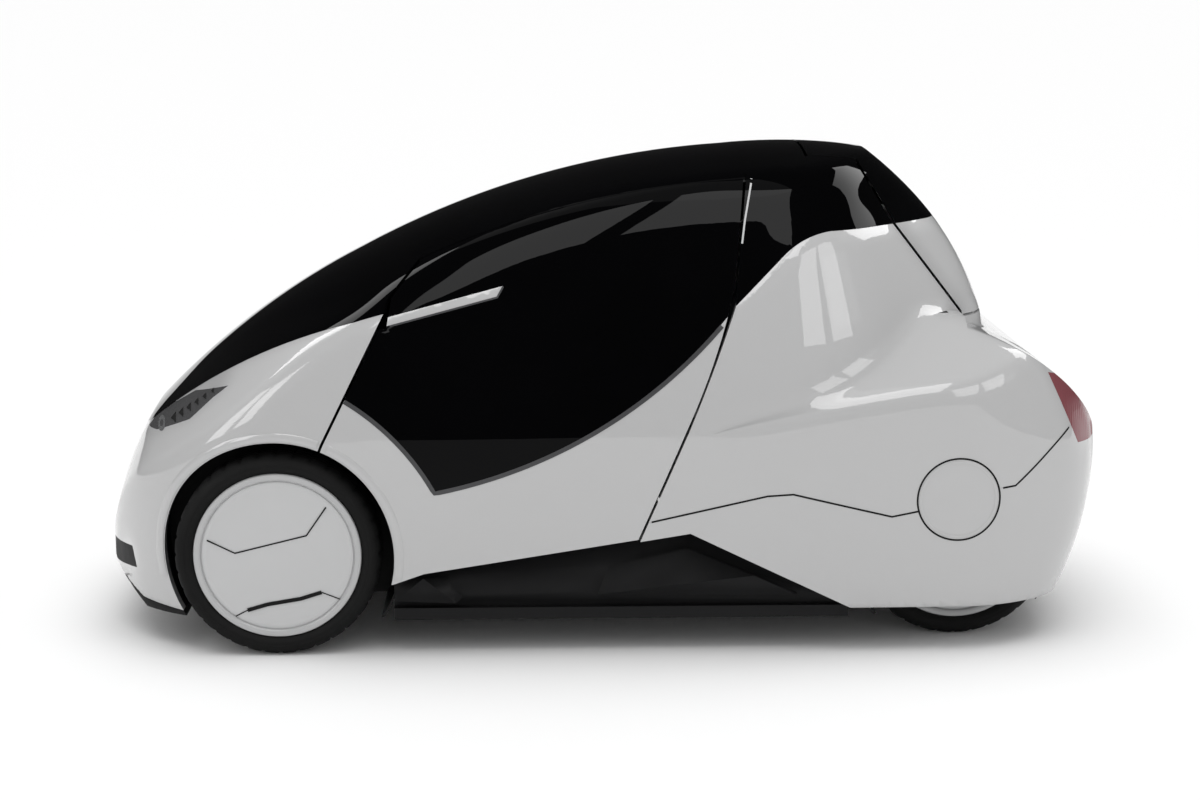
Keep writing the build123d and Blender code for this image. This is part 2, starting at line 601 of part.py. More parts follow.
for row in WHEELS:
    place = dict(zip(WHEEL_COLUMNS, row))
    for kind in ("tyre", "wheel"):
        with BuildPart() as piece:
            with Locations((place["x"], place["y"], TYRE_R)):
                add(forms[kind, place["side"]])
        save(piece, f"{kind}_{place['name']}")

# Steered front axle: fork arms, kingpins and knuckles
FLOOR_HALF = 480
LINER_R = 335
LINER_T = 6
LINER_IN = 293
LINER_OUT = 560
REAR_LINER_IN = 290
ARM_W = 60
AXLE_COLUMN = 80
kingpin_y = FRONT_TRACK / 2
arm_low = TYRE_R - KNUCKLE_H / 2 - FORK_PLAY
arm_high = TYRE_R + KNUCKLE_H / 2 + FORK_PLAY
column_y = LINER_IN - 40
with BuildPart() as front_axle:
    add(block(FRONT_AXLE_X - AXLE_COLUMN / 2, FRONT_AXLE_X + AXLE_COLUMN / 2, -column_y, column_y,
              FLOOR_Z + FLOOR_T, arm_high + FORK_T))
    for z_from in (arm_low - FORK_T, arm_high):
        with BuildSketch(Plane.XY.offset(z_from)):
            with Locations((FRONT_AXLE_X, 0)):
                Rectangle(ARM_W, 2 * kingpin_y)
            with Locations((FRONT_AXLE_X, kingpin_y), (FRONT_AXLE_X, -kingpin_y)):
                Circle(ARM_W / 2)
        extrude(amount=FORK_T)
    with BuildSketch(Plane.XY.offset(arm_low)):
        with Locations((FRONT_AXLE_X, kingpin_y), (FRONT_AXLE_X, -kingpin_y)):
            Circle(KINGPIN_R)
    extrude(amount=arm_high - arm_low)
save(front_axle, "front_axle")
with BuildPart() as knuckle:
    with BuildSketch(Plane.XY.offset(TYRE_R - KNUCKLE_H / 2)):
        with Locations((FRONT_AXLE_X, kingpin_y)):
            Circle(KNUCKLE_R)
    extrude(amount=KNUCKLE_H)
    add(axle_cylinder(FRONT_AXLE_X, TYRE_R, STUB_R, kingpin_y, kingpin_y + STUB_END))
    with BuildSketch(Plane.XY.offset(TYRE_R - KNUCKLE_H / 2)):
        with Locations((FRONT_AXLE_X, kingpin_y)):
            Circle(KINGPIN_R + KINGPIN_FIT)
    extrude(amount=KNUCKLE_H, mode=Mode.SUBTRACT)
both_sides(knuckle, "knuckle")

# Rear axle beam on trailing arms, with the drive motor over it
BEAM_R = 35
TRAIL_Y = 230
TRAIL_W = 40
TRAIL_X = -700
MOTOR_X = (-1120, -940)
MOTOR_H = 160
beam_y = REAR_TRACK / 2 + HUB_IN - EAR_PLAY - 1
trail_top = TYRE_R + BEAM_R
with BuildPart() as rear_axle:
    add(axle_cylinder(REAR_AXLE_X, TYRE_R, BEAM_R, -beam_y, beam_y))
    add(axle_cylinder(REAR_AXLE_X, TYRE_R, STUB_R, -REAR_TRACK / 2 - STUB_END, REAR_TRACK / 2 + STUB_END))
    for side in (1, -1):
        y_from, y_to = sorted((side * TRAIL_Y, side * (TRAIL_Y + TRAIL_W)))
        trail = polygon((TRAIL_X, FLOOR_Z + FLOOR_T), (TRAIL_X - 160, FLOOR_Z + FLOOR_T), (MOTOR_X[0], TYRE_R),
                        (MOTOR_X[0], trail_top), (MOTOR_X[1], trail_top), (TRAIL_X, FLOOR_Z + FLOOR_T + 60))
        add(side_prism(y_from, y_to, trail))
save(rear_axle, "rear_axle")
with BuildPart() as drive_motor:
    add(block(*MOTOR_X, -TRAIL_Y - TRAIL_W, TRAIL_Y + TRAIL_W, trail_top, trail_top + MOTOR_H))
save(drive_motor, "drive_motor")

# Wheel-arch liners
with BuildPart() as front_liner:
    add(axle_cylinder(FRONT_AXLE_X, TYRE_R, LINER_R + LINER_T, LINER_IN, LINER_OUT))
    add(axle_cylinder(FRONT_AXLE_X, TYRE_R, LINER_R, LINER_IN + LINER_T, LINER_OUT), mode=Mode.SUBTRACT)
    add(block(FRONT_AXLE_X - AXLE_COLUMN, FRONT_AXLE_X + AXLE_COLUMN, 0, LINER_OUT, 0, arm_high + FORK_T + 20),
        mode=Mode.SUBTRACT)
    split(bisect_by=Plane.XY.offset(FLOOR_Z + SEAM), keep=Keep.TOP)
    add(cabin_hollow, mode=Mode.INTERSECT)
    add(lip_region, mode=Mode.SUBTRACT)
    add(block(0, SILL_FRONT[0], FLOOR_HALF, LINER_OUT, 0, SILL_STEP[1]), mode=Mode.SUBTRACT)
as_pair(front_liner, "front_liners")
with BuildPart() as rear_liner:
    add(axle_cylinder(REAR_AXLE_X, TYRE_R, REAR_LINER_R + LINER_T, REAR_LINER_IN, LINER_OUT))
    add(axle_cylinder(REAR_AXLE_X, TYRE_R, REAR_LINER_R, REAR_LINER_IN + LINER_T, LINER_OUT), mode=Mode.SUBTRACT)
    add(block(REAR_AXLE_X - AXLE_COLUMN, REAR_AXLE_X + AXLE_COLUMN, 0, LINER_OUT, 0, trail_top + 40),
        mode=Mode.SUBTRACT)
    split(bisect_by=Plane.XY.offset(FLOOR_Z + SEAM), keep=Keep.TOP)
    add(cabin_hollow, mode=Mode.INTERSECT)
as_pair(rear_liner, "rear_liners")

# Platform with jacking pads, battery and sills
FLOOR_FRONT_X = 1150
FLOOR_REAR_X = -1280
PAD_X = (420, -480)
PAD_Y = 400
PAD_SIZE = 90
PAD_T = 10
BATTERY_X = (-440, 300)
BATTERY_Y = 300
BATTERY_H = 100
SILL_OUT = 560
SILL_PANEL_OUT = 592
with BuildPart() as floor_platform:
    with BuildSketch(Plane.XY.offset(FLOOR_Z)):
        with BuildLine():
            Polyline((FLOOR_FRONT_X, LINER_IN), (SILL_FRONT[0], LINER_IN), (SILL_FRONT[0], FLOOR_HALF),
                     (SKIRT_LOW[0], FLOOR_HALF), (SKIRT_LOW[0], REAR_LINER_IN), (FLOOR_REAR_X, REAR_LINER_IN),
                     (FLOOR_REAR_X, -REAR_LINER_IN), (SKIRT_LOW[0], -REAR_LINER_IN), (SKIRT_LOW[0], -FLOOR_HALF),
                     (SILL_FRONT[0], -FLOOR_HALF), (SILL_FRONT[0], -LINER_IN), (FLOOR_FRONT_X, -LINER_IN), close=True)
        make_face()
    extrude(amount=FLOOR_T)
    with BuildSketch(Plane.XY.offset(FLOOR_Z)):
        with Locations(*[(x, side * PAD_Y) for x in PAD_X for side in (1, -1)]):
            Rectangle(PAD_SIZE, PAD_SIZE)
    extrude(amount=-PAD_T)
    add(cabin_hollow, mode=Mode.INTERSECT)
save(floor_platform, "floor_platform")
with BuildPart() as battery:
    add(block(*BATTERY_X, -BATTERY_Y, BATTERY_Y, FLOOR_Z + FLOOR_T, FLOOR_Z + FLOOR_T + BATTERY_H))
save(battery, "battery")
sill_outline = polygon((SILL_FRONT[0], FLOOR_Z), SILL_FRONT, SILL_STEP, SILL_PEAK, SKIRT_LOW, (SKIRT_LOW[0], FLOOR_Z))
pad_outline = polygon((586, 150), (586, 190), (508, 214), (440, 210), (402, 160), (420, 143))
panel_outline = polygon((30, 165), (0, 240), (-215, 292), (-400, 215), (-520, 160))
ledge_outline = polygon((SILL_FRONT[0], FLOOR_Z), (SILL_FRONT[0], 128), (SKIRT_LOW[0], 128), (SKIRT_LOW[0], FLOOR_Z))
with BuildPart() as sill:
    add(side_prism(FLOOR_HALF, SILL_OUT, sill_outline, HALF_SEAM))
    add(side_prism(SILL_OUT, SILL_PANEL_OUT, pad_outline))
    add(side_prism(SILL_OUT, SILL_PANEL_OUT, panel_outline))
    add(side_prism(SILL_OUT, SILL_PANEL_OUT - 8, ledge_outline, HALF_SEAM))
    add(front_arches[0], mode=Mode.SUBTRACT)
both_sides(sill, "sill")

# Tandem seats, dashboard and steering
SEAT_Y = 230
SEAT_BACK_T = 90
DASH_X = (540, 700)
DASH_Z = (POST_ARM_Z, 720)
YOKE_R = 150
YOKE_BAR_R = 13
COLUMN_R = 18
YOKE_X = 400
YOKE_Z = 690
battery_top = FLOOR_Z + FLOOR_T + BATTERY_H
front_seat_outline = polygon((330, battery_top), (340, 330), (310, 350), (-70, 320), (-290, 900), (-330, 905),
                             (-375, 880), (-190, 380), (-150, battery_top))
rear_seat_outline = polygon((-480, FLOOR_Z + FLOOR_T), (-470, 390), (-500, 410), (-770, 380), (-905, 860),
                            (-945, 866), (-985, 840), (-880, 420), (-870, FLOOR_Z + FLOOR_T))
with BuildPart() as front_seat:
    add(side_prism(-SEAT_Y, SEAT_Y, front_seat_outline))
save(front_seat, "front_seat")
with BuildPart() as rear_seat:
    add(side_prism(-TRAIL_Y + SEAM, TRAIL_Y - SEAM, rear_seat_outline))
save(rear_seat, "rear_seat")
with BuildPart() as dashboard:
    add(block(*DASH_X, -POST_Y, POST_Y, *DASH_Z))
save(dashboard, "dashboard")
with BuildPart() as steering_yoke:
    with BuildSketch(Plane.YZ.offset(YOKE_X)):
        with Locations((0, YOKE_Z)):
            Circle(YOKE_R + YOKE_BAR_R)
            Circle(YOKE_R - YOKE_BAR_R, mode=Mode.SUBTRACT)
            Rectangle(2 * YOKE_R, 2 * COLUMN_R)
    extrude(amount=2 * YOKE_BAR_R)
    with BuildSketch(Plane.YZ.offset(YOKE_X)):
        with Locations((0, YOKE_Z)):
            Circle(COLUMN_R)
    extrude(amount=DASH_X[0] - YOKE_X)
save(steering_yoke, "steering_yoke")
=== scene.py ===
"""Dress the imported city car: smooth panels, wheels, lamps, trim, cabin and a white studio."""

import math

import bmesh
import bpy
from bpy.props import FloatProperty, FloatVectorProperty, IntProperty, PointerProperty
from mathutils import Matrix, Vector
from mathutils.bvhtree import BVHTree
from mathutils.kdtree import KDTree


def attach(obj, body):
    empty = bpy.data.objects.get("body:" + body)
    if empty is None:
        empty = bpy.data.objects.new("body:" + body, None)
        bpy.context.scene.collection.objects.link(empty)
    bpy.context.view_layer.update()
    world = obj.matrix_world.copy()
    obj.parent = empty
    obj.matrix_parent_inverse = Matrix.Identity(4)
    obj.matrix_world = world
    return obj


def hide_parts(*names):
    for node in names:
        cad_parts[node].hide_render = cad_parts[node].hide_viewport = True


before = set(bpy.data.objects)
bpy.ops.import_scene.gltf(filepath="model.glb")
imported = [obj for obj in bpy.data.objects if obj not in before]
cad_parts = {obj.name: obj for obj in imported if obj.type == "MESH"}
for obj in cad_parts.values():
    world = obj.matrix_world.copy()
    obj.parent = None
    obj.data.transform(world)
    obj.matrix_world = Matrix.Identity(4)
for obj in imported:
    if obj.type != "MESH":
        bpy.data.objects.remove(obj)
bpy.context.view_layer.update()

bl_info = {
    "name": "City car dressing",
    "version": (1, 0, 0),
    "blender": (4, 5, 0),
    "location": "View3D > Sidebar > City car",
    "description": "Adds finished panels, wheels, lamps, trim, cabin and a studio to the packed city car",
    "category": "Object",
}

# Side-view lines of the body as (x, z) in metres, along seams and edges of the solids
GLASS_FRONT = ((0.726, 0.724), (0.590, 0.622), (0.471, 0.466))
GLASS_REAR = ((0.471, 0.466), (0.150, 0.570), (-0.345, 0.958))
SKIRT_SEAM = ((-0.103, 0.375), (-0.430, 0.447), (-0.500, 0.452), (-0.770, 0.388), (-0.846, 0.403))
TAIL_SEAM = ((-1.063, 0.461), (-1.112, 0.466), (-1.280, 0.604))
DOOR_REAR = ((-0.394, 1.290), (-0.372, 1.180), (-0.352, 1.040))
# Lower edge of the door blade, along which a dark strip paints the blade's shadow
BLADE_SHADOW_LINE = ((0.612, 0.904), (0.300, 0.984), (0.284, 1.012))
LINE_STEP = 0.012

# Round cover as x, z and radius, and half the seam round it
CAP = (-0.953, 0.434, 0.113)
CAP_SEAM = 0.001

# Lip round the front wheel: radius, and first and last angle on the body and on the door
ARCH_R = 0.320
ARCH_CAR = (-0.24, 1.93)
ARCH_DOOR = (2.01, 3.36)

# Headlamp: first facet and step of the row, and the round eye in front of it as x, z and radius
LAMP_START = (1.206, 0, 0.622)
LAMP_STEP = (-0.0235, 0, 0.0172)
LAMP_FACET_R = 0.0125
LAMP_SHRINK = -0.09
LAMP_EYE = (1.248, 0.597, 0.0105)

# Flat strips: lift of the seam lines, then width, lift and shift of the trim
SEAM_LIFT = 0.0006
GLASS_TRIM = (0.012, 0.0008, 0.004)
# Width and lift of the thin strips: the painted shadow under the blade, and the line down the door's rear
# edge
SHADOW_AND_LINE_STRIP = (0.005, 0.0008)
EYE_TRIM = (0.008, 0.001)
FACET_LIFT = 0.001

# Line along the middle of the body: its ends in x and its height, for telling outside from inside
SPINE_ENDS = (-0.75, 0.95)
SPINE_HEIGHT = 0.45
OUTER_FACING = 0.42
SKIN_REACH = 0.015

# Sections of the raised strips as (across, lift)
CAP_RIM = ((0.005, 0.0004), (0.008, 0.0018), (0.014, 0.0004))
ARCH_LIP = ((-0.026, 0.0002), (-0.022, 0.0022), (-0.008, 0.0034), (-0.003, 0.0012))

# Wheels: axles as (x, y of the wheel's middle), and the lines on the covers as name, width and points
FRONT_AXLE = (0.904, 0.530)
REAR_AXLE = (-0.981, 0.390)
WHEELS = (("fl", FRONT_AXLE, 1), ("fr", FRONT_AXLE, -1), ("rl", REAR_AXLE, 1), ("rr", REAR_AXLE, -1))
TYRE_R = 0.282
TYRE_W = 0.145
GROOVE_EVERY = 6
SHOULDER_R = 0.277
RIM_R = 0.229
COVER_OUT = TYRE_W / 2 - 0.012
COVER_LINE_Y = COVER_OUT + 0.0032
BRIGHT_RING_R = 0.2092
COVER_LINES = (
    ("seam", 0.004, ((0.19, 0.045), (0.115, 0.008), (-0.08, 0.056), (-0.135, 0.135))),
    ("slot", 0.011, ((0.085, -0.153), (0.03, -0.137), (-0.06, -0.122), (-0.118, -0.104))),
    ("slot_front", 0.003, ((0.085, -0.153), (0.118, -0.17))),
    ("slot_rear", 0.003, ((-0.118, -0.104), (-0.168, -0.124))),
)

# Seats: fineness and shrinking of the form before it is blown up
SEAT_VOXEL = 0.012
SEAT_SHRINK = -0.012
SEAT_SMOOTHING = 8
SEAT_PRESSURE = 4.0
SEAT_FRAMES = 20

# Studio
FLOOR_R = 150
SKY_DIFFUSE = 0.7
SKY_GLOSSY = 0.02
CAMERA_PLACE = (0.206, 6.6855, 1.9091)
CAMERA_LOOK = (-0.02926, -0.98075, -0.19308)
CAMERA_LENS = 69
CAMERA_SENSOR = 36

# Body and finish of each panel
PANELS = {
    "front_shell": ("car", "white_paint"), "rear_quarter_left": ("car", "white_paint"),
    "rear_quarter_right": ("car", "white_paint"), "tail_panel": ("car", "white_paint"),
    "rear_skirt_left": ("car", "white_paint"), "rear_skirt_right": ("car", "white_paint"),
    "rear_bumper": ("car", "white_paint"), "round_covers": ("car", "white_paint"),
    "door_left": ("door_l", "white_paint"), "door_right": ("door_r", "white_paint"),
    "door_blade_left": ("door_l", "white_paint"), "door_blade_right": ("door_r", "white_paint"),
    "tailgate": ("gate", "white_paint"), "tailgate_glass": ("gate", "black_glass"),
    "windscreen": ("car", "black_glass"), "roof_panel": ("car", "black_glass"),
    "rear_canopy": ("car", "black_glass"), "door_glass_left": ("door_l", "black_glass"),
    "door_glass_right": ("door_r", "black_glass"), "headlamps": ("car", "smoked_lens"),
    "tail_lamps": ("car", "red_lens"),
}

# Finishes of the solids that show as they are
BARE_NODES = {
    "steering_yoke": "black_plastic", "fog_vents": "black_plastic", "front_liners": "black_plastic",
    "rear_liners": "black_plastic", "front_axle": "steel", "rear_axle": "steel", "knuckle_left": "steel",
    "knuckle_right": "steel", "door_posts": "steel", "gate_frame": "steel", "floor_platform": "alloy",
    "battery": "alloy", "drive_motor": "alloy",
}

# Plain finishes: colour, least and greatest roughness, scale of the patches, other sockets
PLAIN = {
    "black_plastic": ((0.011, 0.011, 0.0115), (0.42, 0.55), 9.0, {"specular": 0.12}),
    # Dark grey of the glass seal trim, also used for the strip of painted shadow under the door blade
    "dark_trim_and_shadow": ((0.05, 0.05, 0.053), (0.3, 0.42), 60.0, {}),
    "seam_shadow": ((0.012, 0.012, 0.012), (0.75, 0.9), 50.0, {"specular": 0.1}),
    "smoked_lens": ((0.075, 0.075, 0.077), (0.06, 0.14), 30.0,
                    {"coat": 0.2, "coat_roughness": 0.0, "specular": 0.15}),
    "lamp_bright": ((0.3, 0.305, 0.31), (0.2, 0.3), 80.0, {"metallic": 0.6}),
    "tyre_rubber": ((0.011, 0.011, 0.011), (0.62, 0.82), 14.0, {"specular": 0.08}),
    "satin_grey": ((0.56, 0.562, 0.565), (0.3, 0.4), 12.0, {"specular": 0.2}),
    "bright_ring": ((0.48, 0.482, 0.485), (0.18, 0.28), 20.0, {"coat": 0.2, "specular": 0.2}),
    "steel": ((0.42, 0.42, 0.43), (0.32, 0.5), 90.0, {"metallic": 0.9}),
    "alloy": ((0.09, 0.09, 0.093), (0.48, 0.65), 40.0, {"metallic": 0.5}),
}

# Grain of the plain finishes that have one: scale, strength and depth
GRAIN = {
    "black_plastic": (700.0, 0.15, 0.0004),
    "tyre_rubber": (420.0, 0.2, 0.0006),
    "satin_grey": (1200.0, 0.05, 0.0002),
}


class CityCarSettings(bpy.types.PropertyGroup):
    """Sizes and colours that the operators use."""

    paint: FloatVectorProperty(name="Paint", subtype="COLOR", size=3, default=(0.51, 0.51, 0.512),
                               min=0, max=1)
    edge: FloatProperty(name="Panel mesh edge", default=0.026, min=0.01, unit="LENGTH")
    reach: FloatProperty(name="Normal smoothing reach", default=0.06, min=0.005, unit="LENGTH")
    seam: FloatProperty(name="Seam line width", default=0.005, min=0.001, unit="LENGTH")
    tread: FloatProperty(name="Tread depth", default=0.005, min=0.001, unit="LENGTH")
    turns: IntProperty(name="Wheel segments", default=192, min=48)
    tyre_turns: IntProperty(name="Tyre segments", default=216, min=48)
    facets: IntProperty(name="Lamp facets", default=6, min=2)
    swell: FloatProperty(name="Largest seat swelling", default=0.022, min=0.001, unit="LENGTH")


def finish(name, colour, roughness, metallic=0.0, coat=0.0, coat_roughness=0.03, specular=0.5):
    """New material with one principled shader; returns its node tree and the shader."""
    material = bpy.data.materials.new(f"finish_{name}")
    material.use_nodes = True
    tree = material.node_tree
    bsdf = tree.nodes["Principled BSDF"]
    bsdf.inputs["Base Color"].default_value = (*colour, 1)
    bsdf.inputs["Roughness"].default_value = roughness
    bsdf.inputs["Metallic"].default_value = metallic
    bsdf.inputs["Coat Weight"].default_value = coat
    bsdf.inputs["Coat Roughness"].default_value = coat_roughness
    bsdf.inputs["Specular IOR Level"].default_value = specular
    return tree, bsdf


def made_finish(name):
    """Material of a finish that has been made."""
    return bpy.data.materials[f"finish_{name}"]


def add_texture(tree, kind, scale):
    """Texture in object coordinates."""
    where = tree.nodes.new("ShaderNodeTexCoord")
    texture = tree.nodes.new(kind)
    texture.inputs["Scale"].default_value = scale
    tree.links.new(where.outputs["Object"], texture.inputs["Vector"])
    return texture


def add_noise(tree, scale, detail=4.0):
    """Noise texture in object coordinates."""
    noise = add_texture(tree, "ShaderNodeTexNoise", scale)
    noise.inputs["Detail"].default_value = detail
    return noise


def add_bump(tree, bsdf, texture, strength, distance):
    """Bump from a texture's strength."""
    bump = tree.nodes.new("ShaderNodeBump")
    bump.inputs["Strength"].default_value = strength
    bump.inputs["Distance"].default_value = distance
    tree.links.new(texture.outputs["Fac"], bump.inputs["Height"])
    tree.links.new(bump.outputs["Normal"], bsdf.inputs["Normal"])


def vary_roughness(tree, bsdf, noise, low, high):
    """Let a noise vary the roughness between two values."""
    spread = tree.nodes.new("ShaderNodeMapRange")
    spread.inputs["From Min"].default_value = 0.3
    spread.inputs["From Max"].default_value = 0.7
    spread.inputs["To Min"].default_value = low
    spread.inputs["To Max"].default_value = high
    tree.links.new(noise.outputs["Fac"], spread.inputs["Value"])
    tree.links.new(spread.outputs["Result"], bsdf.inputs["Roughness"])


def tint(tree, bsdf, noise, low, high):
    """Let a noise vary the base colour between two colours."""
    ramp = tree.nodes.new("ShaderNodeValToRGB")
    ramp.color_ramp.elements[0].position = 0.35
    ramp.color_ramp.elements[1].position = 0.65
    ramp.color_ramp.elements[0].color = (*low, 1)
    ramp.color_ramp.elements[1].color = (*high, 1)
    tree.links.new(noise.outputs["Fac"], ramp.inputs["Fac"])
    tree.links.new(ramp.outputs["Color"], bsdf.inputs["Base Color"])


def white_paint(settings):
    """White paint with a fine flake under a clear coat."""
    paint = tuple(settings.paint)
    tree, bsdf = finish("white_paint", paint, 0.4, coat=1.0, coat_roughness=0.0, specular=0.1)
    darker = tuple(c * 0.985 for c in paint)
    lighter = tuple(min(1.0, c * 1.01) for c in paint)
    tint(tree, bsdf, add_noise(tree, 900.0, 2.0), darker, lighter)
    vary_roughness(tree, bsdf, add_noise(tree, 6.0), 0.36, 0.44)


def black_glass():
    """Clear-faced black glass."""
    tree, bsdf = finish("black_glass", (0.0015, 0.0015, 0.0018), 0.0, specular=0.08)
    tint(tree, bsdf, add_noise(tree, 4.0), (0.0014, 0.0014, 0.0016), (0.0017, 0.0017, 0.002))


def red_lens():
    """Ribbed red lens of the tail lamps."""
    tree, bsdf = finish("red_lens", (0.22, 0.07, 0.08), 0.14, coat=0.2, coat_roughness=0.0, specular=0.1)
    add_bump(tree, bsdf, add_texture(tree, "ShaderNodeTexWave", 40.0), 0.3, 0.001)


def seat_fabric():
    """Woven dark grey seat cover."""
    tree, bsdf = finish("seat_fabric", (0.07, 0.072, 0.078), 0.9, specular=0.2)
    bsdf.inputs["Sheen Weight"].default_value = 0.3
    add_bump(tree, bsdf, add_texture(tree, "ShaderNodeTexMagic", 500.0), 0.4, 0.0008)
    tint(tree, bsdf, add_noise(tree, 200.0), (0.055, 0.057, 0.062), (0.085, 0.087, 0.094))


def make_finishes(settings):
    """All finishes of the car, each in a material of its own."""
    white_paint(settings)
    black_glass()
    red_lens()
    seat_fabric()
    for name, (colour, (low, high), patches, sockets) in PLAIN.items():
        tree, bsdf = finish(name, colour, low, **sockets)
        vary_roughness(tree, bsdf, add_noise(tree, patches), low, high)
        if name in GRAIN:
            scale, strength, depth = GRAIN[name]
            add_bump(tree, bsdf, add_noise(tree, scale), strength, depth)


def piece(name, bm, look, body, replaced=()):
    """Turn a bmesh into an object of the car that rides on a body."""
    mesh = bpy.data.meshes.new(name)
    bm.to_mesh(mesh)
    bm.free()
    mesh.materials.append(made_finish(look))
    obj = bpy.data.objects.new(name, mesh)
    bpy.context.scene.collection.objects.link(obj)
    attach(obj, body)
    if replaced:
        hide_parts(*replaced)
    return obj


def node_bmesh(node):
    """Copy of a CAD node's mesh with its faces joined."""
    bm = bmesh.new()
    bm.from_mesh(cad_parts[node].data)
    bmesh.ops.remove_doubles(bm, verts=bm.verts, dist=2e-5)
    bmesh.ops.recalc_face_normals(bm, faces=bm.faces)
    return bm


def skin_tree():
    """Search tree of all body panels."""
    vertices, faces = [], []
    for node in PANELS:
        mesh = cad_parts[node].data
        start = len(vertices)
        vertices += [v.co.copy() for v in mesh.vertices]
        faces += [[start + i for i in polygon.vertices] for polygon in mesh.polygons]
    return BVHTree.FromPolygons(vertices, faces)


def outward(point):
    """Rough direction out of the body at a point, away from a line along its middle."""
    rear, front = SPINE_ENDS
    spine = Vector((max(rear, min(front, point.x)), 0, SPINE_HEIGHT))
    return (point - spine).normalized()


def skin_normal(tree, point, normal, reach):
    """Normal of the body's outside round a point, from where rays meet it at two distances."""
    side = normal.orthogonal().normalized()
    up = normal.cross(side)
    total = Vector((0, 0, 0))
    height = 0.03 + reach
    for share in (0.5, 1.0):
        hits = []
        for direction in (side, up, -side, -up):
            start = point + direction * reach * share + normal * height
            found, facing, _, distance = tree.ray_cast(start, -normal, 2 * height)
            near = found is not None and abs(distance - height) < 0.6 * reach * share
            hits.append(found if near and facing.dot(normal) > 0.3 else point)
        cross = (hits[0] - hits[2]).cross(hits[1] - hits[3])
        if cross.length > 1e-9:
            total += cross.normalized()
    if total.length < 1e-6 or total.normalized().dot(normal) < 0.5:
        return normal
    return total.normalized()


def fine_panel(node, settings):
    """Finer copy of a panel, its outer faces, and the place and area-weighted normal of their vertices."""
    bm = node_bmesh(node)
    for _ in range(5):
        long_edges = [e for e in bm.edges if e.calc_length() > settings.edge]
        if not long_edges:
            break
        bmesh.ops.subdivide_edges(bm, edges=long_edges, cuts=1)
        bmesh.ops.triangulate(bm, faces=[f for f in bm.faces if len(f.verts) > 3])
    bm.normal_update()
    bm.faces.index_update()
    bm.verts.index_update()
    outer = {f.index for f in bm.faces if f.normal.dot(outward(f.calc_center_median())) > OUTER_FACING}
    rough = {}
    for vert in bm.verts:
        total = sum((f.normal * f.calc_area() for f in vert.link_faces if f.index in outer), Vector())
        if total.length > 0:
            rough[vert.index] = (vert.co.copy(), total)
    return bm, outer, rough


def blended(places, normals, place, normal, reach):
    """Normal averaged over the outside within reach of a place, near points counting more."""
    total = normal * 1e-9
    ahead = normal.normalized()
    for _, index, distance in places.find_range(place, reach):
        other = normals[index]
        if other.dot(ahead) > 0.3 * other.length:
            total += other * (1 - (distance / reach) ** 2)
    return total.normalized()


def dress_panels(settings):
    """Replace every panel by a finer copy whose outside shades smoothly across facets and seams."""
    panels = {node: fine_panel(node, settings) for node in PANELS}
    points = [point for _, _, rough in panels.values() for point in rough.values()]
    all_normals = [normal for _, normal in points]
    places = KDTree(len(points))
    for i, (co, _) in enumerate(points):
        places.insert(co, i)
    places.balance()
    for node, (bm, outer, rough) in panels.items():
        body, look = PANELS[node]
        reach = settings.reach * (2 if look == "black_glass" else 1)
        normals = {i: blended(places, all_normals, co, normal, reach) for i, (co, normal) in rough.items()}
        loops = []
        for face in bm.faces:
            face.smooth = True
            for loop in face.loops:
                smooth = normals.get(loop.vert.index) if face.index in outer else None
                loops.append(tuple(smooth or face.normal))
        panel = piece(f"{node}_skin", bm, look, body, (node,))
        panel.data.normals_split_custom_set(loops)


def sweep(x, z, radius, first, last, steps):
    """Side-view points on an arc about a centre, from one angle to another."""
    angles = [first + (last - first) * i / steps for i in range(steps + 1)]
    return [(x + radius * math.cos(angle), z + radius * math.sin(angle)) for angle in angles]


def ring(x, z, radius, steps):
    """Side-view points on a whole circle."""
    return sweep(x, z, radius, 0, math.tau, steps)[:-1]


def arc_points(a, b, c, steps):
    """Points on the arc through three side-view points."""
    (ax, az), (bx, bz), (cx, cz) = a, b, c
    d = 2 * (ax * (bz - cz) + bx * (cz - az) + cx * (az - bz))
    a2, b2, c2 = ax * ax + az * az, bx * bx + bz * bz, cx * cx + cz * cz
    x = (a2 * (bz - cz) + b2 * (cz - az) + c2 * (az - bz)) / d
    z = (a2 * (cx - bx) + b2 * (ax - cx) + c2 * (bx - ax)) / d
    first = math.atan2(az - z, ax - x)
    middle = math.remainder(math.atan2(bz - z, bx - x) - first, math.tau)
    turn = math.remainder(math.atan2(cz - z, cx - x) - first, math.tau)
    if abs(turn) < abs(middle):
        turn -= math.copysign(math.tau, turn)
    return sweep(x, z, math.hypot(ax - x, az - z), first, first + turn, steps)


def resample(points):
    """Side-view polyline cut into short steps."""
    fine = []
    for (x1, z1), (x2, z2) in zip(points, points[1:]):
        count = max(1, round(math.hypot(x2 - x1, z2 - z1) / LINE_STEP))
        fine += [(x1 + (x2 - x1) * i / count, z1 + (z2 - z1) * i / count) for i in range(count)]
    return fine + [points[-1]]


def on_skin(tree, point, side, lift):
    """Place of a side-view point on the body's outside, lifted off it; None where there is no body."""
    found, facing, _, _ = tree.ray_cast(Vector((point.x, side, point.z)), Vector((0, -side, 0)), 1.2)
    if found is None:
        return None
    return found + skin_normal(tree, found, facing, SKIN_REACH) * lift


def flat(width, lift, shift=0.0):
    """Section of a plain strip: (across, lift) points."""
    return ((shift - width / 2, lift), (shift + width / 2, lift))


